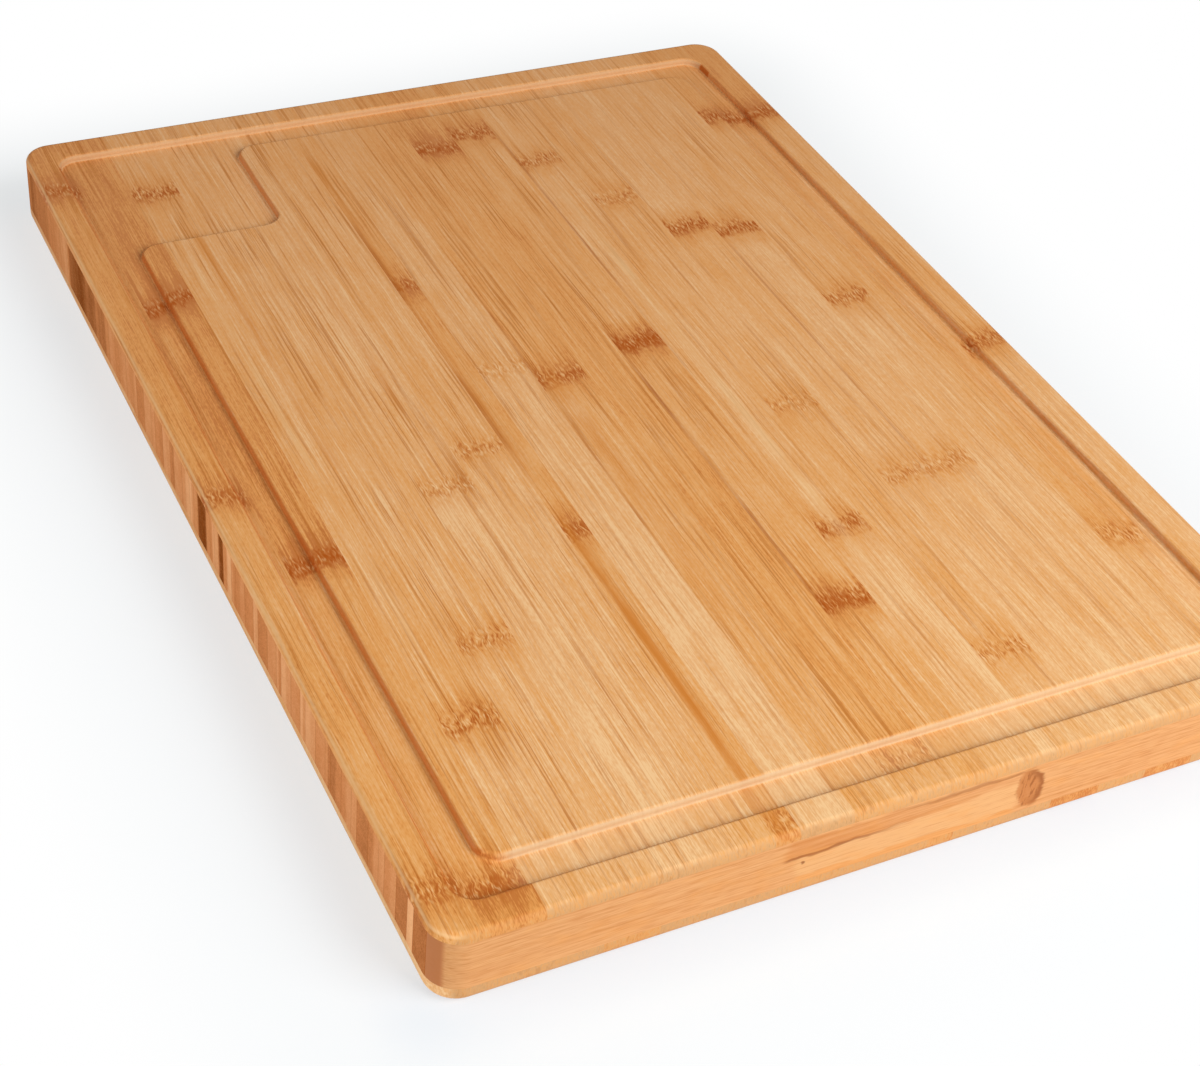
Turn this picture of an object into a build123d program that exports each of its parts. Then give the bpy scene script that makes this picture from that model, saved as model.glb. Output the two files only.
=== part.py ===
from build123d import *
import os

# Carving board of glued bamboo: a top ply and a bottom ply of slats along the length,
# and a core of strips on edge across the width. Millimetres, +Z up, +Y along the length,
# origin at the middle of the underside, juice well in the corner at -X and +Y.

# Panel
LENGTH = 420.0
WIDTH = 300.0
TOP_PLY = 3.2
CORE_HEIGHT = 18.3
BOTTOM_PLY = 6.5
CORNER_RADIUS = 10.0
TOP_EDGE_RADIUS = 2.5
BOTTOM_EDGE_RADIUS = 4.0

# Juice groove: from each edge of the panel to the groove's outer wall, then its section,
# whose roundings at the lip and at the floor are shares of its depth
RIM_LEFT = 10.8
RIM_RIGHT = 13.7
RIM_NEAR = 11.5
RIM_FAR = 12.7
GROOVE_WIDTH = 11.4
GROOVE_DEPTH = 2.6
GROOVE_CORNER_RADIUS = 7.0
LIP_SHARE = 0.56
FLOOR_SHARE = 0.30

# Juice well, from the groove's outer walls inwards
WELL_WIDTH = 66.9
WELL_LENGTH = 67.2

# Slat and strip widths against a full one, from the left edge, and for a core pack from the near end
TOP_SLAT_SHARES = (0.80,) + (1.0,) * 5 + (0.47,) + (1.0,) * 10 + (0.96,)
BOTTOM_SLAT_SHARES = (0.86,) + (1.0,) * 8 + (0.51,) + (1.0,) * 7 + (0.80,)
CORE_STRIP_SHARES = (1.15, 1.25, 0.60)
CORE_PACK_COUNT = 20

# How far a cutter or a saw block runs past the panel
OVERRUN = 5.0

THICKNESS = BOTTOM_PLY + CORE_HEIGHT + TOP_PLY
CORE_BASE = BOTTOM_PLY
TOP_BASE = BOTTOM_PLY + CORE_HEIGHT

# Walls of the groove and of the well in the panel's frame
LEFT_WALL = RIM_LEFT - WIDTH / 2
RIGHT_WALL = WIDTH / 2 - RIM_RIGHT
NEAR_WALL = RIM_NEAR - LENGTH / 2
FAR_WALL = LENGTH / 2 - RIM_FAR


def routed_recess():
    """The groove and the well as one solid, standing past the top face, its floor edges rounded."""
    ring = Pos((LEFT_WALL + RIGHT_WALL) / 2, (NEAR_WALL + FAR_WALL) / 2) * RectangleRounded(
        RIGHT_WALL - LEFT_WALL, FAR_WALL - NEAR_WALL, GROOVE_CORNER_RADIUS
    )
    field_left = LEFT_WALL + GROOVE_WIDTH
    field_right = RIGHT_WALL - GROOVE_WIDTH
    field_near = NEAR_WALL + GROOVE_WIDTH
    field_far = FAR_WALL - GROOVE_WIDTH
    well_right = LEFT_WALL + WELL_WIDTH
    well_near = FAR_WALL - WELL_LENGTH
    outline = Polyline(
        (field_left, field_near),
        (field_right, field_near),
        (field_right, field_far),
        (well_right, field_far),
        (well_right, well_near),
        (field_left, well_near),
        close=True,
    )
    field = make_face(outline)
    field = fillet(field.vertices(), GROOVE_CORNER_RADIUS)
    plan = Pos(0, 0, THICKNESS - GROOVE_DEPTH) * (ring - field)
    recess = extrude(plan, GROOVE_DEPTH + OVERRUN)
    floor = recess.faces().sort_by(Axis.Z)[0]
    return fillet(floor.edges(), GROOVE_DEPTH * FLOOR_SHARE)


def finished_panel():
    """The glued panel after routing and sanding, before it is divided into its slats and strips."""
    panel = extrude(RectangleRounded(WIDTH, LENGTH, CORNER_RADIUS), THICKNESS)
    panel = fillet(panel.faces().sort_by(Axis.Z)[-1].edges(), TOP_EDGE_RADIUS)
    panel = fillet(panel.faces().sort_by(Axis.Z)[0].edges(), BOTTOM_EDGE_RADIUS)
    panel = panel - routed_recess()
    top_faces = panel.faces().filter_by(Axis.Z).group_by(Axis.Z)[-1].sort_by(SortBy.AREA)
    rim, field = top_faces[0], top_faces[-1]
    lips = rim.inner_wires()[0].edges() + field.outer_wire().edges()
    return fillet(lips, GROOVE_DEPTH * LIP_SHARE)


def block(low, high):
    """A box from one corner to the other."""
    size = Vector(*high) - Vector(*low)
    return Pos(*low) * Box(size.X, size.Y, size.Z, align=Align.MIN)


def edges_from_shares(shares, start, span):
    """Where each strip of a row starts and ends, with the row's last end added."""
    places = [start]
    for share in shares:
        places.append(places[-1] + span * share / sum(shares))
    return places


def write(name, pieces):
    """One file for one node."""
    shape = pieces[0] if len(pieces) == 1 else Compound(children=pieces)
    shape.label = name
    export_step(shape, f"parts/{name}.step")


def cut_slats(ply, prefix, shares, base, height):
    """Slats along the length, side by side from the left edge."""
    reach = LENGTH / 2 + OVERRUN
    places = edges_from_shares(shares, -WIDTH / 2, WIDTH)
    for number, (left, right) in enumerate(zip(places, places[1:]), start=1):
        slat = ply & block((left, -reach, base), (right, reach, base + height))
        write(f"{prefix}_{number:02d}", slat.solids())


def cut_core_packs(core):
    """Strips on edge across the width, in packs from the near end."""
    reach = WIDTH / 2 + OVERRUN
    places = edges_from_shares(CORE_STRIP_SHARES * CORE_PACK_COUNT, -LENGTH / 2, LENGTH)
    strips = []
    for near, far in zip(places, places[1:]):
        strip = core & block((-reach, near, CORE_BASE), (reach, far, TOP_BASE))
        strips.extend(strip.solids())
    in_pack = len(CORE_STRIP_SHARES)
    for number in range(CORE_PACK_COUNT):
        write(f"core_pack_{number + 1:02d}", strips[number * in_pack:(number + 1) * in_pack])


def layer(panel, base, height):
    """The part of the panel between two glue lines."""
    reach_x = WIDTH / 2 + OVERRUN
    reach_y = LENGTH / 2 + OVERRUN
    return panel & block((-reach_x, -reach_y, base), (reach_x, reach_y, base + height))


os.makedirs("parts", exist_ok=True)
panel = finished_panel()
cut_slats(layer(panel, TOP_BASE, TOP_PLY), "top_slat", TOP_SLAT_SHARES, TOP_BASE, TOP_PLY)
cut_core_packs(layer(panel, CORE_BASE, CORE_HEIGHT))
cut_slats(layer(panel, 0, BOTTOM_PLY), "bottom_slat", BOTTOM_SLAT_SHARES, 0, BOTTOM_PLY)
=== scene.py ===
import functools
import math
from typing import NamedTuple

import bpy
from mathutils import Color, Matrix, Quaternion, Vector


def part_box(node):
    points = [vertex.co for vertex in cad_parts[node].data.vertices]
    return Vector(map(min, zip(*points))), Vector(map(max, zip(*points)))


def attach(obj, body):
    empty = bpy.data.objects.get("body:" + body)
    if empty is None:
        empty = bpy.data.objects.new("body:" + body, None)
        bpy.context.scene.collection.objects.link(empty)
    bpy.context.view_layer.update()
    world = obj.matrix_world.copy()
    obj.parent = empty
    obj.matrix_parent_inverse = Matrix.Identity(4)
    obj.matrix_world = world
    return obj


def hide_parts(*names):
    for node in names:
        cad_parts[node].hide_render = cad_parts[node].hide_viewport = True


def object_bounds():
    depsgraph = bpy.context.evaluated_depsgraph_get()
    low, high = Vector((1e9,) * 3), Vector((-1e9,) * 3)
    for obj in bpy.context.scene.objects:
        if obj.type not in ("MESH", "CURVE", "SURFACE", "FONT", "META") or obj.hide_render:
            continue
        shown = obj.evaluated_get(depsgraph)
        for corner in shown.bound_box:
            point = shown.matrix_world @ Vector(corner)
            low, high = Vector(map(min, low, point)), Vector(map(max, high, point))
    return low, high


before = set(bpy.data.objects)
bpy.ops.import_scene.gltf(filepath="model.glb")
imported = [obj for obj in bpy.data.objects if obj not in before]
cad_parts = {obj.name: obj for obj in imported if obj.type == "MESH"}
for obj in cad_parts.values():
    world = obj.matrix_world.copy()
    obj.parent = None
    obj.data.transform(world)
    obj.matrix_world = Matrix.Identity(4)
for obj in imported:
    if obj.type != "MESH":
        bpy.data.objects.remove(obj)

bl_info = {
    "name": "Bamboo carving board",
    "version": (1, 0, 0),
    "blender": (4, 5, 0),
    "location": "View3D > Sidebar > Carving board",
    "description": "Saws and finishes the slats and core strips of a bamboo carving board in a studio",
    "category": "Object",
}

CAD_LOW, CAD_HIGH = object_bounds()
BOARD_LENGTH = CAD_HIGH.y - CAD_LOW.y
TOP_NODES = sorted(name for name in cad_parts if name.startswith("top_slat"))
CORE_NODES = sorted(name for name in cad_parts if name.startswith("core_pack"))
BOTTOM_NODES = sorted(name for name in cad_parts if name.startswith("bottom_slat"))
TOP_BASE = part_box(TOP_NODES[0])[0].z
CORE_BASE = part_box(CORE_NODES[0])[0].z
X_AXIS, Y_AXIS, Z_AXIS = range(3)

# How strongly a plain slat's fibres are lined
PLAIN_LINING = 0.8


class Knuckle(NamedTuple):
    """A dark band where the culm had a node: metres from the far end, how dark, how ragged."""

    level: float
    dark: float
    ragged: float


class Streak(NamedTuple):
    """A stripe along a slat: its middle from the slat's left side, half its width, its start and end
    from the far end, how strong it is, and its colour in the finish."""

    offset: float
    half_width: float
    start: float
    end: float
    strength: float
    hue: str


class Slat(NamedTuple):
    """What a slat shows: a tone for each stretch between knuckles, from the far end, 0 palest and
    1 brownest, its knuckles, how strongly its fibres are lined, and its streaks."""

    tones: tuple
    knuckles: tuple
    lining: float
    streaks: tuple


def slat_with(tones, knuckles, lining=PLAIN_LINING, streaks=()):
    """A slat from plain rows of numbers."""
    return Slat(
        tones,
        tuple(Knuckle(*row) for row in knuckles),
        lining,
        tuple(Streak(*row) for row in streaks),
    )


# Top slats from the left edge
TOP_SLATS = (
    slat_with(
        (0.86, 0.71, 0.58, 0.54),
        ((0.035, 0.75, 0.6), (0.226, 0.70, 0.6), (0.401, 0.65, 0.7)),
        1.0,
        ((0.0085, 0.0008, 0.060, 0.215, 0.45, "streak"),),
    ),
    slat_with((0.88, 0.80, 0.54, 0.80), ((0.116, 0.95, 0.5), (0.265, 1.00, 0.4), (0.404, 0.70, 0.6)), 1.0),
    slat_with(
        (0.44, 0.42, 0.32),
        ((0.043, 0.75, 0.8), (0.347, 0.70, 0.9)),
        1.15,
        ((0.0135, 0.0016, 0.085, 0.215, 0.40, "streak"), (0.0060, 0.0012, 0.110, 0.300, 0.35, "cream")),
    ),
    slat_with((0.38, 0.31), ((0.317, 0.60, 0.9),), 1.2),
    slat_with((0.32, 0.21), ((0.246, 0.50, 0.8),), 1.15, ((0.0100, 0.0014, 0.080, 0.190, 0.35, "streak"),)),
    slat_with((0.40, 0.34), ((0.231, 0.50, 0.9),), 1.15),
    slat_with(
        (0.55, 0.60, 0.52, 0.60),
        ((0.134, 0.75, 0.5), (0.280, 0.75, 0.5), (0.414, 0.40, 0.7)),
        1.0,
        (
            (0.0012, 0.0018, 0.050, 0.240, 0.45, "streak"),
            (0.0006, 0.0010, 0.100, 0.240, 0.40, "glue"),
            (0.0024, 0.0017, 0.284, 0.410, 0.70, "streak"),
        ),
    ),
    slat_with((0.34, 0.22), ((0.193, 0.35, 0.9),), 0.9),
    slat_with(
        (0.58, 0.46),
        ((0.203, 0.75, 0.5),),
        1.15,
        ((0.0055, 0.0030, 0.208, 0.320, 0.40, "streak"), (0.0003, 0.0007, 0.150, 0.300, 0.35, "glue")),
    ),
    slat_with((0.74, 0.58, 0.45), ((0.049, 0.90, 0.5), (0.404, 0.40, 0.8)), 1.15),
    slat_with(
        (0.60, 0.50, 0.50, 0.45),
        ((0.042, 0.80, 0.5), (0.193, 1.00, 0.3), (0.339, 0.95, 0.4)),
        1.1,
        ((0.0003, 0.0009, 0.195, 0.335, 0.55, "glue"),),
    ),
    slat_with(
        (0.42, 0.35, 0.28),
        ((0.069, 0.65, 0.6), (0.307, 0.75, 0.5)),
        0.95,
        ((0.0003, 0.0009, 0.050, 0.205, 0.40, "glue"), (0.0075, 0.0018, 0.100, 0.330, 0.45, "cream")),
    ),
    slat_with((0.42, 0.40, 0.38, 0.32), ((0.104, 0.50, 0.8), (0.244, 0.40, 0.9), (0.376, 0.50, 0.9)), 0.8),
    slat_with((0.27, 0.34, 0.28), ((0.130, 0.90, 0.5), (0.291, 0.52, 0.7)), 0.6),
    slat_with(
        (0.34, 0.30, 0.23),
        ((0.138, 0.85, 0.4), (0.290, 0.52, 0.7)),
        0.6,
        ((0.0003, 0.0008, 0.150, 0.290, 0.35, "glue"),),
    ),
    slat_with((0.38, 0.26), ((0.193, 0.70, 0.6),), 0.8),
    slat_with((0.58, 0.46, 0.28), ((0.060, 0.90, 0.5), (0.342, 0.55, 0.9)), 0.7),
    slat_with((0.72, 0.42, 0.32), ((0.063, 0.90, 0.4), (0.234, 0.75, 0.5)), 0.7),
)

# Bottom slats from the left edge
BOTTOM_SLATS = (
    slat_with((0.30, 0.24), ((0.150, 0.50, 0.7),)),
    slat_with((0.40, 0.36), ((0.290, 0.50, 0.7),)),
    slat_with((0.26, 0.30), ((0.095, 0.60, 0.6),)),
    slat_with((0.56, 0.62), ((0.210, 0.70, 0.5),)),
    slat_with((0.38, 0.30), ((0.330, 0.40, 0.8),)),
    slat_with((0.22, 0.28), ((0.180, 0.60, 0.6),)),
    slat_with((0.46, 0.40), ((0.060, 0.70, 0.5),)),
    slat_with((0.34, 0.40), ((0.260, 0.50, 0.8),)),
    slat_with((0.44, 0.38), ((0.365, 0.60, 0.6),)),
    slat_with((0.58, 0.66), ((0.120, 0.60, 0.5),)),
    slat_with((0.40, 0.34), ((0.235, 0.50, 0.7),)),
    slat_with((0.28, 0.22), ((0.080, 0.60, 0.6),)),
    slat_with((0.92, 0.96), ((0.305, 0.80, 0.4),)),
    slat_with((0.36, 0.42), ((0.165, 0.50, 0.7),)),
    slat_with((0.88, 0.94), ((0.345, 0.70, 0.5),)),
    slat_with((0.24, 0.20), ((0.205, 0.50, 0.8),)),
    slat_with((0.42, 0.38), ((0.110, 0.60, 0.6),)),
    slat_with((0.36, 0.30), ((0.275, 0.60, 0.6),)),
)


class Ply(NamedTuple):
    """A ply of slats: its nodes and its slats from the left edge, the levels of its underside and top,
    the seed before its first slat's, and whether the groove is routed into it."""

    nodes: list
    slats: tuple
    levels: tuple
    seed: int
    routed: bool


TOP_PLY = Ply(
    nodes=TOP_NODES,
    slats=TOP_SLATS,
    levels=(TOP_BASE, CAD_HIGH.z),
    seed=0,
    routed=True,
)
BOTTOM_PLY = Ply(
    nodes=BOTTOM_NODES,
    slats=BOTTOM_SLATS,
    levels=(CAD_LOW.z, CORE_BASE),
    seed=30,
    routed=False,
)

# Strips of one core pack, from the near end, as shares of the pack
CORE_STRIP_SHARES = (1.15 / 3, 1.25 / 3, 0.60 / 3)

# Tone of each core strip at its near and at its far side, pack by pack from the near end
CORE_TONES = (
    ((0.70, 0.70), (0.72, 0.70), (0.05, 0.12)),
    ((0.66, 0.66), (0.38, 0.48), (0.34, 0.38)),
    ((0.38, 0.58), (0.64, 0.60), (0.38, 0.36)),
    ((0.36, 0.50), (0.52, 0.66), (0.64, 0.42)),
    ((0.42, 0.46), (0.32, 0.22), (0.38, 0.18)),
    ((0.45, 0.42), (0.36, 0.20), (0.55, 0.32)),
    ((0.40, 0.40), (0.56, 0.58), (0.30, 0.24)),
    ((0.50, 0.52), (0.42, 0.52), (0.54, 0.40)),
    ((0.12, 0.50), (0.96, 0.26), (0.24, 0.50)),
    ((0.44, 0.98), (0.98, 0.42), (0.36, 0.14)),
    ((0.18, 0.40), (0.42, 0.36), (0.62, 0.56)),
    ((0.38, 0.30), (0.54, 0.46), (0.34, 0.40)),
    ((0.36, 0.36), (0.54, 0.56), (0.34, 0.42)),
    ((0.46, 0.40), (0.38, 0.46), (0.50, 0.48)),
    ((0.44, 0.38), (0.48, 0.70), (0.66, 0.68)),
    ((0.60, 0.76), (0.82, 0.74), (0.84, 0.90)),
    ((0.94, 0.90), (0.86, 0.80), (0.56, 0.34)),
    ((0.30, 0.40), (0.44, 0.48), (0.50, 0.52)),
    ((0.50, 0.58), (0.62, 0.62), (0.60, 0.60)),
    ((0.66, 0.80), (0.60, 0.60), (0.42, 0.28)),
)

# Size of one fleck of each kind of grain, across and along the fibres
CLOUD = (0.0250, 0.060)
PATCH = (0.0110, 0.050)
WAVER = (0.0060, 0.040)
MOTTLE = (0.0050, 0.012)
BAND = (0.0045, 0.160)
LINE = (0.0008, 0.070)
THREAD = (0.0004, 0.022)
NEEDLE = (0.0005, 0.0070)
PORE = (0.0005, 0.0020)
DASH = (0.0007, 0.0034)
EDDY = (0.0030, 0.0040)
WHORL = (0.0040, 0.0010)

# Layers of finer noise in plain and in fine grain
PLAIN_DETAIL = 1.0
FINE_DETAIL = 2.0

# What each kind of grain adds to the tone of a slat
TONE_WEIGHTS = (
    (CLOUD, FINE_DETAIL, 0.30),
    (MOTTLE, FINE_DETAIL, 0.35),
    (BAND, PLAIN_DETAIL, 0.40),
    (THREAD, PLAIN_DETAIL, 0.95),
    (PORE, PLAIN_DETAIL, 0.65),
)

# How far fibres drift from straight, how far apart across and along two slats are cut from the same
# bamboo, and how fast the grain changes through the thickness, against across the fibres
DRIFT = 0.0012
SEED_STEPS = (0.37, 1.71)
THROUGH_SHARE = 0.3

# Past a knuckle's middle, toward the near end: where its stain starts and is full,
# and where it begins to fade and ends
STAIN_RISE = (-0.0085, 0.0010)
STAIN_FALL = (0.0020, 0.0085)

# How far a knuckle's line wavers, how ragged eddies and dashes make its outline,
# and how far it runs along single fibres
WAVER_REACH = 0.0060
EDDY_REACH = 0.0080
DASH_REACH = 0.0040
FIBRE_REACH = 0.0080

# How far a knuckle stirs the fibres, how far they sway there, and where its halo begins to fade and ends
STIR_REACH = 0.0095
SWAY = 0.0025
HALO_FADE = (0.0040, 0.0170)

# How gently a slat's tone changes past a knuckle, and how gently a streak ends
TONE_STEP = 0.0060
STREAK_FADE = 0.0200

# Levels of noise at which the pale lines of the grain begin to show and are full
PALE_LINES = (0.46, 0.30)

# Share of the far end's blush in a slat's colour, at the far and at the near end
BLUSH_FAR_SHARE = 0.40
BLUSH_NEAR_SHARE = 0.04

# From the end of a slat or of the outermost core strip: where its end grain begins to show and is full
SLAT_END = (0.0022, 0.0004)
STRIP_END = (0.0036, 0.0022)

# How far the marks on the outermost core strip wander, each placed from the left edge and the underside
MARK_WANDER = 0.0040

# The knot's middle, half size and lean
KNOT_MIDDLE = (0.1885, 0.0160)
KNOT_HALF = (0.0052, 0.0085)
KNOT_LEAN = 0.30

# Two corners of the dark seam and of the pale flame, how far the flame rises along the seam,
# how softly both end and how sharp their long edges are
SEAM_CORNERS = ((0.1075, 0.0176), (0.1830, 0.0236))
FLAME_CORNERS = ((0.1110, 0.0090), (0.1830, 0.0165))
FLAME_RISE = 0.0020
SEAM_FADE = 0.0035
SEAM_EDGE = 0.0009

# The pin hole's middle and radius
PIN_HOLE = (0.1117, 0.0148)
PIN_RADIUS = 0.0007

# How much the roughness varies with the lines of the grain
ROUGHNESS_SPREAD = 0.15

# How much of the floor glows beside the board, how far from the board all of it does,
# and how far before the near end the painted contact shadow reaches
SHADOW_GLOW = 0.64
SHADOW_REACH = 0.090
CONTACT_REACH = 0.024

# Depth of the groove and of the well, and the roundings at their floor and lip as shares of it
GROOVE_DEPTH = 0.0026
FLOOR_SHARE = 0.30
LIP_SHARE = 0.56

# Segments of a rounding, its profile, and the angle under which neighbouring faces shade as one
CORNER_SEGMENTS = 12
EDGE_SEGMENTS = 6
FLOOR_SEGMENTS = 4
ROUND_PROFILE = 0.5
SMOOTH_ANGLE = math.radians(32)

# How far a cutter runs past what it cuts, how near two places count as the same,
# and how far up the normal of a face points that counts as level
OVERRUN = 0.005
NEAR_ENOUGH = 1e-6
LEVEL_ENOUGH = 0.5


def length(label, words, default):
    """A property for one length in metres."""
    return bpy.props.FloatProperty(
        name=label, description=words, default=default, unit="LENGTH", precision=5
    )


def optic(label, words, default):
    """A property for one length of the camera in millimetres."""
    return bpy.props.FloatProperty(name=label, description=words, default=default, unit="CAMERA")


def shade(label, words, default):
    """A property for one colour as it shows on a screen."""
    return bpy.props.FloatVectorProperty(
        name=label, description=words, default=default, subtype="COLOR_GAMMA", min=0.0, max=1.0
    )


def spot(label, words, default):
    """A property for one place in the studio."""
    return bpy.props.FloatVectorProperty(
        name=label, description=words, default=default, subtype="XYZ", unit="LENGTH"
    )


def factor(label, words, default):
    """A property for one share from 0 to 1."""
    return bpy.props.FloatProperty(
        name=label, description=words, default=default, subtype="FACTOR", min=0.0, max=1.0
    )


def power(label, words, default):
    """A property for one lamp's power in watts."""
    return bpy.props.FloatProperty(name=label, description=words, default=default, unit="POWER")


class BoardSizes(bpy.types.PropertyGroup):
    """Sizes of the routing and sanding."""

    corner_radius: length("Corner radius", "Rounding of the board's corners in plan", 0.0100)
    top_edge_radius: length("Top edge radius", "Rounding of the top edges", 0.0025)
    bottom_edge_radius: length("Bottom edge radius", "Rounding of the bottom edges", 0.0040)
    rim_left: length("Left rim", "From the left edge to the groove's outer wall", 0.0108)
    rim_right: length("Right rim", "From the right edge to the groove's outer wall", 0.0137)
    rim_near: length("Near rim", "From the near end to the groove's outer wall", 0.0115)
    rim_far: length("Far rim", "From the far end to the groove's outer wall", 0.0127)
    groove_width: length("Groove width", "Between the groove's two walls", 0.0114)
    groove_depth: length("Groove depth", "From the carving face to the groove's floor", GROOVE_DEPTH)
    groove_corner: length("Groove corner", "Rounding of the groove's corners in plan", 0.0070)
    floor_radius: length("Floor radius", "Rounding of the floor's edges", FLOOR_SHARE * GROOVE_DEPTH)
    lip_radius: length("Lip radius", "Rounding of the groove's lips", LIP_SHARE * GROOVE_DEPTH)
    well_width: length("Well width", "From the groove's left wall to the well's right wall", 0.0669)
    well_length: length("Well length", "From the groove's far wall to the well's near wall", 0.0672)


class BambooFinish(bpy.types.PropertyGroup):
    """Colours and sheen of the oiled bamboo."""

    cream: shade("Cream", "Palest fibres", (0.955, 0.788, 0.575))
    pale: shade("Pale", "Pale slats", (0.922, 0.716, 0.492))
    honey: shade("Honey", "Middling slats", (0.904, 0.661, 0.390))
    amber: shade("Amber", "Orange slats", (0.880, 0.601, 0.309))
    brown: shade("Brown", "Darkest slats", (0.770, 0.465, 0.208))
    knuckle: shade("Knuckle", "Scorched fibres at a knuckle", (0.690, 0.320, 0.045))
    fibre: shade("Fibre", "Fine dark fibres", (0.715, 0.412, 0.130))
    rose: shade("Rose", "Blush of the slats toward the far end", (0.905, 0.632, 0.425))
    end_grain: shade("End grain", "Sawn ends of the slats", (0.735, 0.545, 0.350))
    # Painted highlights of the routed walls across the fibres that face the near end, one for the near end
    # and a darker one for the far end
    painted_highlight: shade("Lip", "Routed wall across the fibres, near end", (0.850, 0.715, 0.555))
    far_painted_highlight: shade("Far lip", "Routed wall across the fibres, far end", (0.815, 0.635, 0.458))
    # Brown of the routed walls, partly scorch and partly painted shade
    scorch_and_shade: shade("Scorch", "Scorched routed walls", (0.755, 0.385, 0.115))
    rosy: shade("Rosy", "Outermost core strip at the near end", (0.855, 0.628, 0.412))
    flame: shade("Flame", "Pale flame in the outermost core strip", (0.870, 0.660, 0.440))
    knot: shade("Knot", "Knot in the outermost core strip", (0.735, 0.455, 0.235))
    blush: shade("Blush", "Palest ends of the core strips", (0.950, 0.715, 0.510))
    russet: shade("Russet", "Middling ends of the core strips", (0.830, 0.540, 0.330))
    umber: shade("Umber", "Darkest ends of the core strips", (0.520, 0.265, 0.090))
    glue: shade("Glue", "Glue line between two slats", (0.640, 0.310, 0.050))
    streak: shade("Streak", "Orange streaks along the fibres", (0.820, 0.500, 0.190))
    roughness: factor("Roughness", "Roughness of the oiled surface", 0.55)
    sheen: factor("Sheen", "Strength of the surface's reflection", 0.12)
    relief: length("Fibre relief", "Height of the fibres that stand proud", 0.00006)


class StudioSetup(bpy.types.PropertyGroup):
    """Camera, lamps and floor."""

    lens: optic("Lens", "Focal length of the camera", 67.622)
    sensor: optic("Sensor", "Width of the camera's sensor", 36.0)
    camera_place: spot("Camera", "Where the camera stands", (-0.31005, -0.55303, 0.48794))
    camera_aim: spot("Aim", "Where the camera looks", (-0.03836, -0.07418, 0.02800))
    camera_roll: bpy.props.FloatProperty(
        name="Roll",
        description="Turn of the camera about its own axis",
        default=math.radians(6.201),
        unit="ROTATION",
    )
    key_place: spot("Key lamp", "Where the large front lamp hangs", (0.55, -0.95, 0.85))
    key_size: length("Key size", "Width of the front lamp", 0.90)
    key_power: power("Key power", "Power of the front lamp", 19.5)
    fill_place: spot("Fill lamp", "Where the weak lamp on the left hangs", (-1.00, -0.20, 0.42))
    fill_size: length("Fill size", "Width of the left lamp", 0.80)
    fill_power: power("Fill power", "Power of the left lamp", 5.0)
    sky: factor("Sky", "Strength of the even light all round", 0.20)
    floor_size: length("Floor size", "Width of the floor", 12.0)
    floor: shade("Floor", "Colour of the floor", (0.96, 0.96, 0.96))
    glow: shade("Glow", "Glow of the floor far from the board", (1.00, 1.00, 1.00))
    # Painted cool tint of the floor beside the board, against the warm light the board bounces onto it
    painted_cool_glow: shade("Cool glow", "Glow of the floor beside the board", (0.981, 0.994, 1.000))
    # Painted contact shadow: darker, cooler glow of the floor right before the near end
    painted_contact_shadow: shade("Contact", "Glow of the floor right before the near end", (0.918, 0.950, 0.978))


def deselect_all():
    """Leave nothing selected, so that the next operator acts on one piece."""
    bpy.ops.object.select_all(action="DESELECT")


def activate(piece):
    """Make one piece the only one that operators act on."""
    deselect_all()
    piece.select_set(True)
    bpy.context.view_layer.objects.active = piece


def add_block(name, low, high):
    """A cuboid between two corners, with its place in its mesh."""
    low = Vector(low)
    high = Vector(high)
    deselect_all()
    bpy.ops.mesh.primitive_cube_add(size=1, location=(low + high) / 2, scale=high - low)
    block = bpy.context.object
    block.name = name
    bpy.ops.object.transform_apply(location=True, rotation=True, scale=True)
    return block


def copy_of(piece, name):
    """A copy with a mesh of its own."""
    activate(piece)
    bpy.ops.object.duplicate(linked=False)
    copy = bpy.context.object
    copy.name = name
    return copy


def remove(piece):
    """Delete a workpiece that has served its turn."""
    bpy.data.objects.remove(piece, do_unlink=True)


def near(a, b):
    """Whether two places are the same."""
    return abs(a - b) < NEAR_ENOUGH


def round_edges(piece, wanted, radius, segments):
    """Round the edges that pass a test on their two ends and the normals of their two faces."""
    mesh = piece.data
    normals = {key: [] for key in mesh.edge_keys}
    for face in mesh.polygons:
        for key in face.edge_keys:
            normals[key].append(face.normal.copy())
    chosen = set()
    for edge in mesh.edges:
        start, end = (mesh.vertices[index].co for index in edge.vertices)
        if wanted(start, end, normals[edge.key]):
            chosen.add(edge.index)
    if not chosen:
        raise RuntimeError(f"{piece.name} has no such edge to round")
    activate(piece)
    bpy.ops.object.mode_set(mode="EDIT")
    bpy.ops.mesh.select_mode(type="EDGE")
    bpy.ops.mesh.select_all(action="DESELECT")
    bpy.ops.object.mode_set(mode="OBJECT")
    for edge in mesh.edges:
        edge.select = edge.index in chosen
    bpy.ops.object.mode_set(mode="EDIT")
    bpy.ops.mesh.bevel(
        offset=radius, segments=segments, profile=ROUND_PROFILE, affect="EDGES", clamp_overlap=False
    )
    bpy.ops.object.mode_set(mode="OBJECT")


def is_upright(start, end, normals):
    """Whether an edge stands straight up."""
    return near(start.x, end.x) and near(start.y, end.y) and not near(start.z, end.z)


def at_level(level):
    """A test for the edges at one height where a level face meets an upright one."""
    def test(start, end, normals):
        level_faces = sum(abs(normal.z) > LEVEL_ENOUGH for normal in normals)
        return near(start.z, level) and near(end.z, level) and level_faces == 1
    return test


def cut_away(piece, cutter):
    """Take the cutter out of the piece, and delete the cutter."""
    activate(piece)
    modifier = piece.modifiers.new("cut", "BOOLEAN")
    modifier.operation = "DIFFERENCE"
    modifier.solver = "EXACT"
    modifier.object = cutter
    bpy.ops.object.modifier_apply(modifier=modifier.name)
    remove(cutter)


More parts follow.
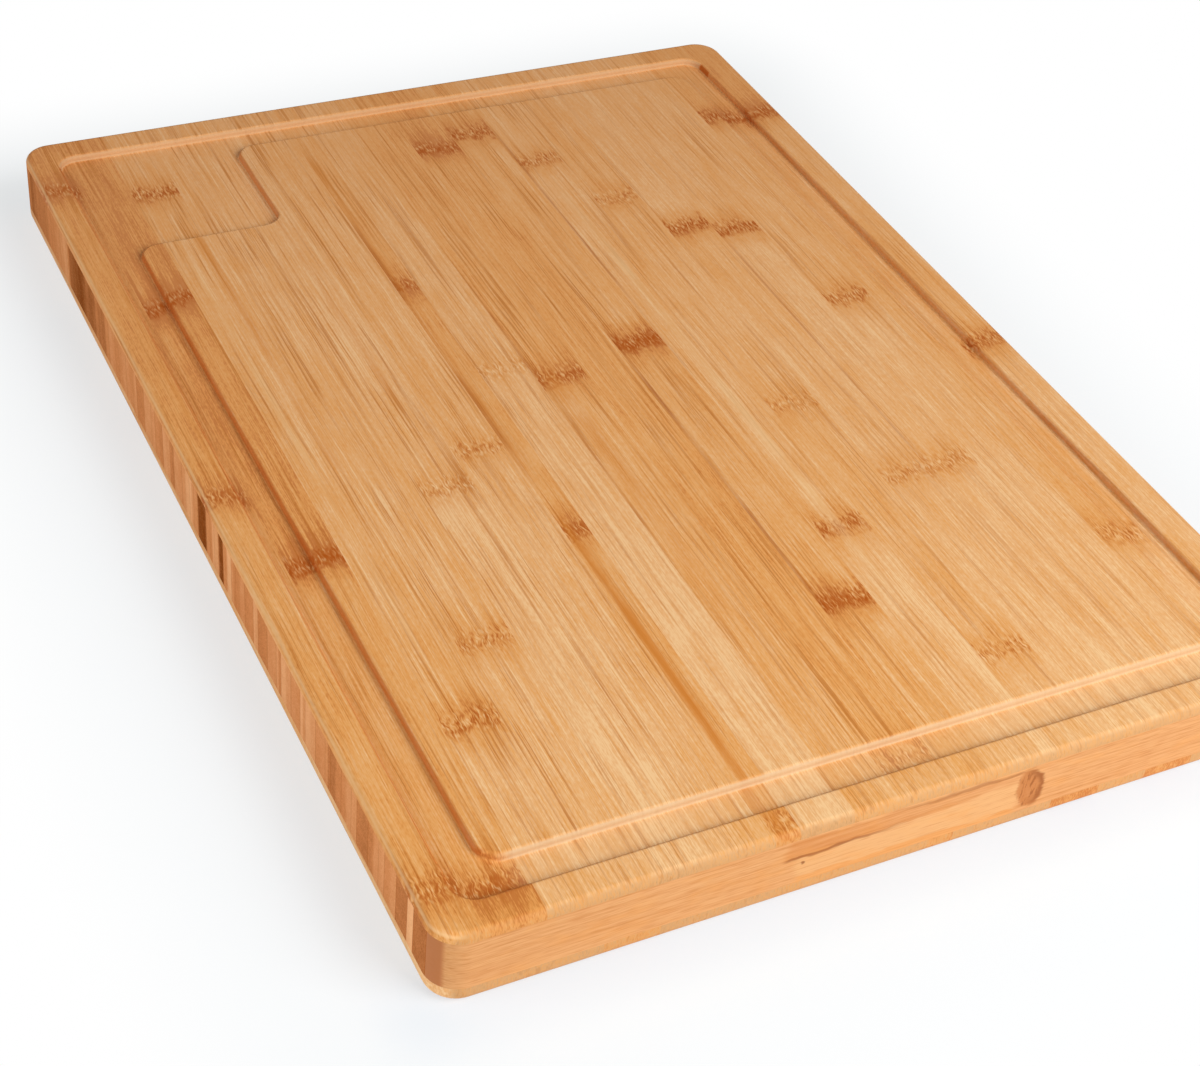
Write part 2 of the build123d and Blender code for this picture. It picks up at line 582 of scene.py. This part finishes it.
def bisect(piece, point, normal, **ways):
    """Draw the line of a plane round the piece, and cut there in the ways that are asked for."""
    activate(piece)
    bpy.ops.object.mode_set(mode="EDIT")
    bpy.ops.mesh.select_all(action="SELECT")
    bpy.ops.mesh.bisect(plane_co=point, plane_no=normal, threshold=NEAR_ENOUGH, **ways)
    bpy.ops.object.mode_set(mode="OBJECT")


def saw_out(piece, axis, low, high):
    """Keep the stretch of a piece between two places along an axis, with its sawn ends closed."""
    for level, side in ((low, -1), (high, 1)):
        point = Vector()
        normal = Vector()
        point[axis] = level
        normal[axis] = side
        if CAD_LOW[axis] + NEAR_ENOUGH < level < CAD_HIGH[axis] - NEAR_ENOUGH:
            bisect(piece, point, normal, use_fill=True, clear_outer=True)


def sanded_blank(sizes):
    """The glued panel with its corners and edges rounded, and no groove."""
    blank = add_block("blank", CAD_LOW, CAD_HIGH)
    round_edges(blank, is_upright, sizes.corner_radius, CORNER_SEGMENTS)
    round_edges(blank, at_level(CAD_HIGH.z), sizes.top_edge_radius, EDGE_SEGMENTS)
    round_edges(blank, at_level(CAD_LOW.z), sizes.bottom_edge_radius, EDGE_SEGMENTS)
    return blank


def routed_panel(sizes):
    """The sanded blank with the juice groove and the corner well routed into it."""
    left = CAD_LOW.x + sizes.rim_left
    right = CAD_HIGH.x - sizes.rim_right
    near_wall = CAD_LOW.y + sizes.rim_near
    far_wall = CAD_HIGH.y - sizes.rim_far
    floor = CAD_HIGH.z - sizes.groove_depth
    above = CAD_HIGH.z + OVERRUN
    field_low = (left + sizes.groove_width, near_wall + sizes.groove_width, floor - OVERRUN)
    field_high = (right - sizes.groove_width, far_wall - sizes.groove_width, above + OVERRUN)
    field = add_block("field", field_low, field_high)
    notch_low = (left, far_wall - sizes.well_length, floor - 2 * OVERRUN)
    notch_high = (left + sizes.well_width, far_wall, above + 2 * OVERRUN)
    cut_away(field, add_block("notch", notch_low, notch_high))
    round_edges(field, is_upright, sizes.groove_corner, CORNER_SEGMENTS)
    recess = add_block("recess", (left, near_wall, floor), (right, far_wall, above))
    round_edges(recess, is_upright, sizes.groove_corner, CORNER_SEGMENTS)
    panel = sanded_blank(sizes)
    for solid in (recess, panel):
        bisect(solid, (0, 0, 0), (1, 0, 0))
        bisect(solid, (0, 0, 0), (0, 1, 0))
    cut_away(recess, field)
    round_edges(recess, at_level(floor), sizes.floor_radius, FLOOR_SEGMENTS)
    cut_away(panel, recess)
    round_edges(panel, at_level(CAD_HIGH.z), sizes.lip_radius, EDGE_SEGMENTS)
    return panel


def smooth(piece):
    """Shade roundings as round and flats as flat."""
    activate(piece)
    bpy.ops.object.shade_smooth_by_angle(angle=SMOOTH_ANGLE)
    modifier = piece.modifiers.new("flat faces lead", "WEIGHTED_NORMAL")
    modifier.keep_sharp = True
    bpy.ops.object.modifier_apply(modifier=modifier.name)


def stand_for(piece, node):
    """Let a finished piece take the place of a CAD node."""
    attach(piece, "root")
    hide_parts(node)


class Wire:
    """A shader socket that takes part in sums: each operator adds a Math node."""

    def __init__(self, tree, socket=None):
        self.tree = tree
        self.socket = socket

    def node(self, kind, settings=None, sockets=None, output=0):
        """Any node: its settings first, then a value or a link for each of its sockets."""
        node = self.tree.nodes.new(kind)
        for name, value in (settings or {}).items():
            if name == "stops":
                lay_stops(node.color_ramp.elements, value)
            else:
                setattr(node, name, value)
        for key, value in (sockets or {}).items():
            if isinstance(value, Wire):
                self.tree.links.new(value.socket, node.inputs[key])
            else:
                node.inputs[key].default_value = value
        return Wire(self.tree, node.outputs[output] if node.outputs else None)

    def math(self, operation, *values):
        """A Math node on these values."""
        return self.node("ShaderNodeMath", {"operation": operation}, dict(enumerate(values)))

    def __add__(self, other):
        return self.math("ADD", self, other)

    def __radd__(self, other):
        return self.math("ADD", other, self)

    def __sub__(self, other):
        return self.math("SUBTRACT", self, other)

    def __rsub__(self, other):
        return self.math("SUBTRACT", other, self)

    def __mul__(self, other):
        return self.math("MULTIPLY", self, other)

    def __rmul__(self, other):
        return self.math("MULTIPLY", other, self)

    def __truediv__(self, other):
        return self.math("DIVIDE", self, other)

    def __abs__(self):
        return self.math("ABSOLUTE", self)

    def split(self):
        """The three parts of a vector."""
        node = self.node("ShaderNodeSeparateXYZ", None, {0: self}).socket.node
        return [Wire(self.tree, socket) for socket in node.outputs]

    def ramp_between(self, low, high):
        """Ease from 0 at low to 1 at high."""
        return self.node(
            "ShaderNodeMapRange",
            {"interpolation_type": "SMOOTHSTEP"},
            {"Value": self, "From Min": low, "From Max": high, "To Min": 0.0, "To Max": 1.0},
        )


def lay_stops(elements, stops):
    """Give a ramp these stops, each a position and a colour."""
    while len(elements) < len(stops):
        elements.new(1.0)
    for element, (position, colour) in zip(elements, stops):
        element.position = position
        element.color = colour


def greater(first, second):
    """The greater of two values at each point."""
    return first.math("MAXIMUM", first, second)


def greatest(values):
    """The greatest of several values at each point."""
    return functools.reduce(greater, values)


def radius_of(x, y):
    """How far out a point lies, from its two offsets."""
    return x.math("SQRT", x * x + y * y)


def inside_span(value, low, high, soft):
    """1 between two levels, easing to 0 over a soft stretch outside each."""
    return value.ramp_between(low - soft, low) * (1 - value.ramp_between(high, high + soft))


def paint(colour):
    """A screen colour in the renderer's own light values, with full cover."""
    return (*Color(colour).from_srgb_to_scene_linear(), 1.0)


def blend_colours(first, second, share):
    """The first colour, with a share of the second laid over it."""
    return share.node(
        "ShaderNodeMix",
        {"data_type": "RGBA", "clamp_factor": True},
        {0: share, 6: first, 7: second},
        output=2,
    )


def grain(space, fleck, detail=FINE_DETAIL):
    """Noise drawn out along the fibres, 0 to 1, with flecks of one size."""
    across, along = fleck
    stretched = space.node(
        "ShaderNodeVectorMath",
        {"operation": "MULTIPLY"},
        {0: space, 1: (1 / across, 1 / along, 1 / across)},
    )
    return space.node(
        "ShaderNodeTexNoise",
        {"noise_dimensions": "3D"},
        {"Vector": stretched, "Scale": 1.0, "Detail": detail, "Roughness": 0.6},
    )


def swing(noise):
    """Noise of 0 to 1, made to swing about 0."""
    return noise - 0.5


def new_material(name):
    """An empty node material, and the place of a point on the piece as a wire to start from."""
    material = bpy.data.materials.new(name)
    material.use_nodes = True
    material.node_tree.nodes.clear()
    return material, Wire(material.node_tree).node("ShaderNodeTexCoord", output="Object")


def finish_material(colour, line, height, sheen, finish):
    """Oiled bamboo from a colour, the lines of its grain and the height of its fibres."""
    normal = colour.node(
        "ShaderNodeBump", None, {"Strength": 0.5, "Distance": finish.relief, "Height": height}
    )
    roughness = finish.roughness + swing(line) * ROUGHNESS_SPREAD
    surface = colour.node(
        "ShaderNodeBsdfPrincipled",
        None,
        {"Base Color": colour, "Roughness": roughness, "Normal": normal, "Specular IOR Level": sheen},
    )
    colour.node("ShaderNodeOutputMaterial", None, {"Surface": surface})


def slat_colour(tone, finish):
    """The bamboo of a slat, from the palest fibres at tone 0 to the brownest at 1."""
    stops = (
        (0.00, paint(finish.cream)),
        (0.22, paint(finish.pale)),
        (0.48, paint(finish.honey)),
        (0.74, paint(finish.amber)),
        (1.00, paint(finish.brown)),
    )
    return tone.node("ShaderNodeValToRGB", {"stops": stops}, {"Fac": tone})


def strip_colour(tone, finish):
    """The end grain of a core strip, from the palest at tone 0 to the darkest at 1."""
    stops = (
        (0.00, paint(finish.blush)),
        (0.50, paint(finish.russet)),
        (1.00, paint(finish.umber)),
    )
    return tone.node("ShaderNodeValToRGB", {"stops": stops}, {"Fac": tone})


def fibre_space(place, sway, seed):
    """Coordinates that wander with a slat's fibres, apart for each seed."""
    across, along, up = place.split()
    apart_across, apart_along = (step * seed for step in SEED_STEPS)
    moved = across + swing(grain(place, CLOUD)) * DRIFT + sway
    return place.node(
        "ShaderNodeCombineXYZ",
        None,
        {0: moved + apart_across, 1: along + apart_along, 2: up * THROUGH_SHARE},
    )


def fibre_tone(space):
    """How much browner the fibres make the bamboo at a point, about 0 on the whole."""
    return sum(swing(grain(space, fleck, detail)) * weight for fleck, detail, weight in TONE_WEIGHTS)


def knuckle_marks(knuckles, distances, eddy, dash, line):
    """How darkly the knuckles stain the fibres at a point, and how strong their halos are there."""
    runs = swing(line) * FIBRE_REACH
    stains = []
    halos = []
    for knuckle, distance in zip(knuckles, distances):
        edge = distance + eddy * EDDY_REACH + swing(dash) * DASH_REACH + runs
        halos.append((1 - abs(edge + runs).ramp_between(*HALO_FADE)) * knuckle.dark)
        band = edge.ramp_between(*STAIN_RISE) * (1 - edge.ramp_between(*STAIN_FALL))
        solid = 0.66 - 0.44 * knuckle.ragged
        flecks = dash.ramp_between(0.38, 0.68) * (1.0 - solid)
        stains.append(band * (solid + flecks) * knuckle.dark)
    return greatest(stains), greatest(halos)


def draw_streaks(colour, slat, from_left, from_far, patch, finish):
    """Stripes along the slat, patchy and soft at their ends."""
    for streak in slat.streaks:
        inner = 0.4 * streak.half_width
        outer = 1.4 * streak.half_width
        beside = 1 - abs(from_left - streak.offset).ramp_between(inner, outer)
        inside = inside_span(from_far, streak.start, streak.end, STREAK_FADE)
        share = beside * inside * (streak.strength * (0.3 + patch * 0.8))
        colour = blend_colours(colour, paint(getattr(finish, streak.hue)), share)
    return colour


def faces_near_end(along, sizes):
    """1 at the walls of the groove's two cross runs that face the near end, 0 at those that face away."""
    near_wall = CAD_LOW.y + sizes.rim_near
    far_wall = CAD_HIGH.y - sizes.rim_far
    half_groove = 0.5 * sizes.groove_width
    near_run = along.ramp_between(near_wall, near_wall + sizes.groove_width)
    field = along.ramp_between(-half_groove, half_groove)
    far_run = along.ramp_between(far_wall - sizes.groove_width, far_wall)
    return (near_run - field + far_run).ramp_between(0.4, 0.6)


def tint_cut_edges(colour, place, sizes, finish):
    """Painted highlights on the pale top edges along the sides and on the pale routed walls that face the
    near end, and routed walls browned partly as scorch and partly as painted shade.
    """
    across, along, up = place.split()
    depth = (CAD_HIGH.z - up) / sizes.groove_depth
    side_rim = abs(across).ramp_between(CAD_HIGH.x - sizes.rim_left, CAD_HIGH.x - 0.5 * sizes.rim_left)
    end_rim = abs(along).ramp_between(CAD_HIGH.y - sizes.rim_near, CAD_HIGH.y - 0.5 * sizes.rim_near)
    # Painted highlight: cream along the top edge roundings of the long sides
    painted_edge_highlight = depth.ramp_between(0.15, 0.35) * (1 - depth.ramp_between(0.40, 0.65)) * side_rim
    colour = blend_colours(colour, paint(finish.cream), painted_edge_highlight * 0.5)

    # What is routed, its walls, its floor, and the two runs of the groove that cross the fibres
    routed = depth.ramp_between(0.0, 0.2) * (1 - side_rim) * (1 - end_rim)
    wall = 1 - depth.ramp_between(0.80, 1.00)
    floor = depth.ramp_between(0.90, 0.99)
    past_field = CAD_HIGH.y - sizes.rim_far - sizes.groove_width - 2 * sizes.lip_radius
    end_runs = abs(along).ramp_between(past_field, past_field + sizes.lip_radius)

    # Walls along the fibres are browned, partly as scorch and partly as painted shade, most of all on the
    # left
    scorch_and_shade_share = 0.62 - across.ramp_between(CAD_LOW.x, CAD_HIGH.x) * 0.42
    colour = blend_colours(colour, paint(finish.scorch_and_shade), routed * wall * (1 - end_runs) * scorch_and_shade_share)

    # Walls across the fibres get a painted highlight where they face the near end, apart from the near
    # corners, darker toward the far end, with a trace of that painted highlight on the near run's floor,
    # and painted shade where they face away
    crossing = routed * end_runs
    toward_far = along.ramp_between(CAD_LOW.y / 2, CAD_HIGH.y / 2)
    corner_start = CAD_HIGH.x - sizes.rim_right - sizes.groove_width
    clear = 1 - abs(across).ramp_between(corner_start - sizes.groove_corner, corner_start)
    clear = greater(clear, toward_far)
    near_floor = crossing * floor * clear * (1 - along.ramp_between(CAD_LOW.y / 2, 0.0))
    colour = blend_colours(colour, paint(finish.painted_highlight), near_floor * 0.16)
    facing = faces_near_end(along, sizes)
    # Painted shade on the walls across the fibres that face away from the near end
    colour = blend_colours(colour, paint(finish.scorch_and_shade), crossing * wall * (1 - facing) * 0.95)
    painted_wall_highlight = blend_colours(paint(finish.painted_highlight), paint(finish.far_painted_highlight), toward_far)
    return blend_colours(colour, painted_wall_highlight, crossing * (1 - floor) * clear * facing * 0.85)


def slat_material(node, slat, seed, routed, scene):
    """Bamboo with its fibres along the board: stretches of tone, knuckles and streaks."""
    finish = scene.bamboo_finish
    material, place = new_material(f"bamboo_{node}")
    across, along, _ = place.split()
    from_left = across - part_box(node)[0].x
    from_far = CAD_HIGH.y - along
    waver = swing(grain(place, WAVER)) * WAVER_REACH
    distances = [from_far - knuckle.level + waver for knuckle in slat.knuckles]
    stir = greatest(1 - abs(distance).ramp_between(0.0, STIR_REACH) for distance in distances)
    eddy = swing(grain(place, EDDY))
    space = fibre_space(place, eddy * stir * SWAY, seed)
    line = grain(space, LINE)
    dash = grain(space, DASH, PLAIN_DETAIL)
    patch = grain(space, PATCH).ramp_between(0.35, 0.65)
    stain, halo = knuckle_marks(slat.knuckles, distances, eddy, dash, line)

    # Tone: the slat's own with its fibres, stretch by stretch, then its pale lines and its knuckles
    tone = slat.tones[0] + fibre_tone(space)
    for distance, before, after in zip(distances, slat.tones, slat.tones[1:]):
        tone = tone + distance.ramp_between(-TONE_STEP, TONE_STEP) * (after - before)
    tone = tone - line.ramp_between(*PALE_LINES) * (0.25 * slat.lining)
    tone = tone + stain * 0.35 + halo * 0.30 + stir * swing(dash)

    # Colour: the tone's own, then blush, dark fibres, stains, pale flecks and streaks
    colour = slat_colour(tone, finish)
    blush = BLUSH_FAR_SHARE - from_far * ((BLUSH_FAR_SHARE - BLUSH_NEAR_SHARE) / BOARD_LENGTH)
    colour = blend_colours(colour, paint(finish.rose), blush)
    dark_fibres = line.ramp_between(0.51, 0.66) * ((0.18 + patch * 0.40) * slat.lining)
    colour = blend_colours(colour, paint(finish.fibre), dark_fibres)
    stained = stain.ramp_between(0.08, 1.05) * 0.85 + halo * 0.08
    colour = blend_colours(colour, paint(finish.knuckle), stained)
    pale_flecks = (stir - stain) * dash.ramp_between(0.45, 0.28) * 0.55
    colour = blend_colours(colour, paint(finish.cream), pale_flecks)
    colour = draw_streaks(colour, slat, from_left, from_far, patch, finish)
    if routed:
        colour = tint_cut_edges(colour, place, scene.board_sizes, finish)
    end_start, end_full = SLAT_END
    end = abs(along).ramp_between(CAD_HIGH.y - end_start, CAD_HIGH.y - end_full)
    colour = blend_colours(colour, paint(finish.end_grain), end * (0.85 - tone * 0.7))
    finish_material(colour, line, line, finish.sheen, finish)
    return material


def core_material(name, finish):
    """Bamboo with its fibres across the board, its tone read from each strip."""
    material, place = new_material(name)
    across, along, up = place.split()
    space = place.node("ShaderNodeCombineXYZ", None, {0: along, 1: across, 2: up})
    strip = place.node("ShaderNodeAttribute", {"attribute_name": "strip"}, output="Vector")
    share, near_tone, far_tone = strip.split()
    band = grain(space, BAND, PLAIN_DETAIL)
    line = grain(space, LINE)
    thread = grain(space, THREAD, PLAIN_DETAIL)
    tone = near_tone + share.ramp_between(0.35, 0.65) * (far_tone - near_tone)
    tone = tone + swing(band) * 0.20 + swing(line) * 0.35 + swing(thread) * 0.30
    colour = strip_colour(tone, finish)
    edge = share.math("MINIMUM", share, 1 - share)
    glue = (1 - edge.ramp_between(0.02, 0.05)) * 0.3
    colour = blend_colours(colour, paint(finish.glue), glue)
    finish_material(colour, line, line + thread * 0.5, 0.0, finish)
    return material


def draw_seam(colour, space, line, fibres, from_left, level, finish):
    """The dark seam on the outermost strip, and the pale flame under it."""
    (seam_left, seam_low), (seam_right, seam_high) = SEAM_CORNERS
    (flame_left, flame_low), (flame_right, flame_high) = FLAME_CORNERS
    along_seam = from_left.ramp_between(seam_left, seam_right)
    seam = inside_span(from_left, seam_left, seam_right, SEAM_FADE)
    band = seam * inside_span(level, seam_low, seam_high, SEAM_EDGE)
    band = band * (0.55 - along_seam * 0.45) * (0.35 + line)
    colour = blend_colours(colour, paint(finish.brown), band)
    beside_flame = inside_span(from_left, flame_left, flame_right, SEAM_FADE)
    flame = beside_flame * inside_span(level, flame_low, flame_high + along_seam * FLAME_RISE, SEAM_EDGE)
    colour = blend_colours(colour, paint(finish.flame), flame * (0.95 - fibres))
    under = beside_flame * (1 - level.ramp_between(flame_low - SEAM_EDGE, flame_low))
    mottle = grain(space, MOTTLE).ramp_between(0.45, 0.80)
    colour = blend_colours(colour, paint(finish.amber), greater(under * 0.5, mottle * 0.35))
    low_line = 1 - abs(level - seam_low).ramp_between(0.3 * SEAM_EDGE, SEAM_EDGE)
    low_line = low_line * (1 - along_seam.ramp_between(0.1, 0.6))
    high_line = 1 - abs(level - seam_high).ramp_between(0.3 * SEAM_EDGE, 1.3 * SEAM_EDGE)
    high_line = high_line * along_seam.ramp_between(0.3, 0.8) * 0.7
    return blend_colours(colour, paint(finish.umber), seam * greater(low_line, high_line) * 0.6)


def draw_knot(colour, space, from_left, level, finish):
    """The leaning oval knot, darker at its right rim and in spots."""
    knot_x, knot_z = KNOT_MIDDLE
    half_x, half_z = KNOT_HALF
    off_z = (level - knot_z) / half_z
    off_x = (from_left - knot_x) / half_x + off_z * KNOT_LEAN
    reach = radius_of(off_x, off_z) + swing(grain(space, DASH, PLAIN_DETAIL)) * 0.25
    knot = 1 - reach.ramp_between(0.80, 1.10)
    whorl = grain(space, WHORL)
    rim = knot * reach.ramp_between(0.40, 0.90) * off_x.ramp_between(-0.5, 0.7)
    spots = knot * whorl.ramp_between(0.52, 0.66)
    colour = blend_colours(colour, paint(finish.knot), knot * (0.60 + whorl * 0.5))
    return blend_colours(colour, paint(finish.umber), greater(rim * 0.7, spots * 0.6))


def draw_pin_hole(colour, from_left, level, finish):
    """The small dark hole beside the seam."""
    pin_x, pin_z = PIN_HOLE
    reach = radius_of(from_left - pin_x, level - pin_z)
    hole = 1 - reach.ramp_between(0.5 * PIN_RADIUS, 1.5 * PIN_RADIUS)
    return blend_colours(colour, paint(finish.umber), hole * 0.8)


def near_strip_material(name, finish):
    """The outermost core strip: pale long grain with a seam, a pale flame, a knot and a pin hole."""
    material, place = new_material(name)
    across, along, up = place.split()
    space = place.node("ShaderNodeCombineXYZ", None, {0: up, 1: across, 2: along * THROUGH_SHARE})
    line = grain(space, LINE)
    thread = grain(space, THREAD, PLAIN_DETAIL)
    needle = grain(space, NEEDLE, PLAIN_DETAIL)
    wander = swing(grain(space, MOTTLE)) * MARK_WANDER
    from_left = across - CAD_LOW.x + wander
    level = up - CAD_LOW.z + wander
    fibres = line.ramp_between(0.46, 0.70) * 0.18 + thread.ramp_between(0.40, 0.75) * 0.24
    fibres = fibres + needle.ramp_between(0.42, 0.72) * 0.30
    colour = blend_colours(paint(finish.rosy), paint(finish.fibre), fibres)
    colour = blend_colours(colour, paint(finish.flame), line.ramp_between(*PALE_LINES) * 0.3)
    colour = draw_seam(colour, space, line, fibres, from_left, level, finish)
    colour = draw_knot(colour, space, from_left, level, finish)
    colour = draw_pin_hole(colour, from_left, level, finish)
    end_start, end_full = STRIP_END
    end = abs(across).ramp_between(CAD_HIGH.x - end_start, CAD_HIGH.x - end_full)
    colour = blend_colours(colour, paint(finish.russet), end * 0.95)
    colour = blend_colours(colour, paint(finish.umber), end * 0.4)
    finish_material(colour, line, line, finish.sheen, finish)
    return material


def dress_slats(panel, ply, scene):
    """Saw a ply into its slats, each with a material of its own."""
    saw_out(panel, Z_AXIS, *ply.levels)
    rows = zip(ply.nodes, ply.slats, strict=True)
    for seed, (node, slat) in enumerate(rows, start=ply.seed + 1):
        low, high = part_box(node)
        piece = copy_of(panel, f"finished_{node}")
        saw_out(piece, X_AXIS, low.x, high.x)
        smooth(piece)
        piece.data.materials.append(slat_material(node, slat, seed, ply.routed, scene))
        stand_for(piece, node)
    remove(panel)


class TopSlats(bpy.types.Operator):
    """Saw the routed panel's top ply into its slats"""

    bl_idname = "carving_board.top_slats"
    bl_label = "Top slats"

    def execute(self, context):
        panel = routed_panel(context.scene.board_sizes)
        dress_slats(panel, TOP_PLY, context.scene)
        return {"FINISHED"}


class BottomSlats(bpy.types.Operator):
    """Saw the panel's bottom ply into its slats"""

    bl_idname = "carving_board.bottom_slats"
    bl_label = "Bottom slats"

    def execute(self, context):
        panel = sanded_blank(context.scene.board_sizes)
        dress_slats(panel, BOTTOM_PLY, context.scene)
        return {"FINISHED"}


def cut_strip(core, near_side, far_side, tones):
    """Saw a strip out of the core, and note on each of its corners how far through the strip it lies
    and the tones of the strip's two sides."""
    strip = copy_of(core, "strip")
    saw_out(strip, Y_AXIS, near_side, far_side)
    attribute = strip.data.attributes.new("strip", "FLOAT_VECTOR", "POINT")
    for vertex, value in zip(strip.data.vertices, attribute.data):
        share = (vertex.co.y - near_side) / (far_side - near_side)
        value.vector = (share, *tones)
    return strip


def glue_up(strips, name):
    """Join strips into one pack."""
    deselect_all()
    for strip in strips:
        strip.select_set(True)
    pack = strips[0]
    bpy.context.view_layer.objects.active = pack
    bpy.ops.object.join()
    pack.name = name
    return pack


class CorePacks(bpy.types.Operator):
    """Saw the panel's core into strips on edge and glue them up in packs"""

    bl_idname = "carving_board.core_packs"
    bl_label = "Core packs"

    def execute(self, context):
        scene = context.scene
        core = sanded_blank(scene.board_sizes)
        saw_out(core, Z_AXIS, CORE_BASE, TOP_BASE)
        near_strip = near_strip_material("bamboo_near_strip", scene.bamboo_finish)
        inner_strip = core_material("bamboo_core", scene.bamboo_finish)
        for node, tones in zip(CORE_NODES, CORE_TONES, strict=True):
            low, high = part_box(node)
            near_side = low.y
            strips = []
            for share, strip_tones in zip(CORE_STRIP_SHARES, tones, strict=True):
                far_side = near_side + share * (high.y - low.y)
                strip = cut_strip(core, near_side, far_side, strip_tones)
                outermost = near(near_side, CAD_LOW.y)
                strip.data.materials.append(near_strip if outermost else inner_strip)
                strips.append(strip)
                near_side = far_side
            pack = glue_up(strips, f"finished_{node}")
            smooth(pack)
            stand_for(pack, node)
        remove(core)
        return {"FINISHED"}


def add_floor(studio):
    """A pale floor that shows as white and keeps the board's shadow, with a painted cool tint beside the
    board and a painted contact shadow before the near end.
    """
    deselect_all()
    bpy.ops.mesh.primitive_plane_add(size=studio.floor_size, location=(0, 0, CAD_LOW.z))
    floor = bpy.context.object
    floor.name = "studio_floor"
    material, place = new_material("studio_floor")
    across, along, _ = place.split()
    beyond_x = place.math("MAXIMUM", abs(across) - CAD_HIGH.x, 0.0)
    beyond_y = place.math("MAXIMUM", abs(along) - CAD_HIGH.y, 0.0)
    beside = 1 - radius_of(beyond_x, beyond_y).ramp_between(0.0, SHADOW_REACH)
    # Painted contact shadow: where the glow turns darker and cooler just before the near end
    before = inside_span(CAD_LOW.y - along, 0.0, 0.0, CONTACT_REACH)
    before = before * (1 - beyond_x.ramp_between(0.0, CONTACT_REACH))
    camera_ray = place.node("ShaderNodeLightPath", output="Is Camera Ray")
    glow = camera_ray * (1 - beside * (1.0 - SHADOW_GLOW))
    # Painted cool tint beside the board, against the warm light it bounces onto the floor
    glow_colour = blend_colours(paint(studio.glow), paint(studio.painted_cool_glow), beside)
    # Painted contact shadow laid over the glow before the near end
    glow_colour = blend_colours(glow_colour, paint(studio.painted_contact_shadow), before)
    diffuse = place.node("ShaderNodeBsdfDiffuse", None, {"Color": paint(studio.floor)})
    white = place.node("ShaderNodeEmission", None, {"Color": glow_colour, "Strength": 1.0})
    surface = place.node("ShaderNodeMixShader", None, {0: glow, 1: diffuse, 2: white})
    place.node("ShaderNodeOutputMaterial", None, {"Surface": surface})
    floor.data.materials.append(material)


def add_lamp(name, where, size, watts):
    """A square soft lamp that faces the middle of the board."""
    lamp = bpy.data.lights.new(name, "AREA")
    lamp.shape = "SQUARE"
    lamp.size = size
    lamp.energy = watts
    holder = bpy.data.objects.new(name, lamp)
    holder.location = where
    holder.rotation_euler = (-Vector(where)).to_track_quat("-Z", "Y").to_euler()
    bpy.context.scene.collection.objects.link(holder)


def add_sky(studio):
    """Even light from all round, seen as white."""
    world = bpy.data.worlds.new("studio_sky")
    world.use_nodes = True
    world.node_tree.nodes.clear()
    camera_ray = Wire(world.node_tree).node("ShaderNodeLightPath", output="Is Camera Ray")
    strength = studio.sky + camera_ray * (1.0 - studio.sky)
    light = strength.node("ShaderNodeBackground", None, {"Color": (1, 1, 1, 1), "Strength": strength})
    strength.node("ShaderNodeOutputWorld", None, {"Surface": light})
    bpy.context.scene.world = world


def add_camera(studio):
    """The camera at the photograph's angle."""
    camera = bpy.data.cameras.new("camera")
    camera.lens = studio.lens
    camera.sensor_width = studio.sensor
    holder = bpy.data.objects.new("camera", camera)
    where = Vector(studio.camera_place)
    aim = (Vector(studio.camera_aim) - where).to_track_quat("-Z", "Y")
    holder.location = where
    holder.rotation_euler = (aim @ Quaternion((0, 0, 1), studio.camera_roll)).to_euler()
    bpy.context.scene.collection.objects.link(holder)
    bpy.context.scene.camera = holder


class Studio(bpy.types.Operator):
    """Lay the floor, hang the lamps and stand the camera"""

    bl_idname = "carving_board.studio"
    bl_label = "Studio"

    def execute(self, context):
        scene = context.scene
        studio = scene.studio_setup
        add_floor(studio)
        add_sky(studio)
        add_lamp("key_lamp", studio.key_place, studio.key_size, studio.key_power)
        add_lamp("fill_lamp", studio.fill_place, studio.fill_size, studio.fill_power)
        add_camera(studio)
        scene.view_settings.view_transform = "Standard"
        return {"FINISHED"}


class CarvingBoardPanel(bpy.types.Panel):
    """Sidebar tab with the board's pieces, sizes and finish"""

    bl_idname = "VIEW3D_PT_carving_board"
    bl_label = "Carving board"
    bl_space_type = "VIEW_3D"
    bl_region_type = "UI"
    bl_category = "Carving board"

    def draw(self, context):
        layout = self.layout
        scene = context.scene
        for operator in (TopSlats, CorePacks, BottomSlats, Studio):
            layout.operator(operator.bl_idname)
        for group in (scene.board_sizes, scene.bamboo_finish, scene.studio_setup):
            box = layout.box()
            for name in group.__annotations__:
                box.prop(group, name)


CLASSES = (
    BoardSizes,
    BambooFinish,
    StudioSetup,
    TopSlats,
    CorePacks,
    BottomSlats,
    Studio,
    CarvingBoardPanel,
)


def register():
    """Make the sizes, the finish, the studio, the operators and the panel known."""
    for item in CLASSES:
        bpy.utils.register_class(item)
    bpy.types.Scene.board_sizes = bpy.props.PointerProperty(type=BoardSizes)
    bpy.types.Scene.bamboo_finish = bpy.props.PointerProperty(type=BambooFinish)
    bpy.types.Scene.studio_setup = bpy.props.PointerProperty(type=StudioSetup)


def unregister():
    """Take back what register made known."""
    del bpy.types.Scene.studio_setup
    del bpy.types.Scene.bamboo_finish
    del bpy.types.Scene.board_sizes
    for item in reversed(CLASSES):
        bpy.utils.unregister_class(item)


def main():
    """Make the board piece by piece, then the studio."""
    register()
    bpy.ops.carving_board.top_slats()
    bpy.ops.carving_board.core_packs()
    bpy.ops.carving_board.bottom_slats()
    bpy.ops.carving_board.studio()


if __name__ == "__main__":
    main()
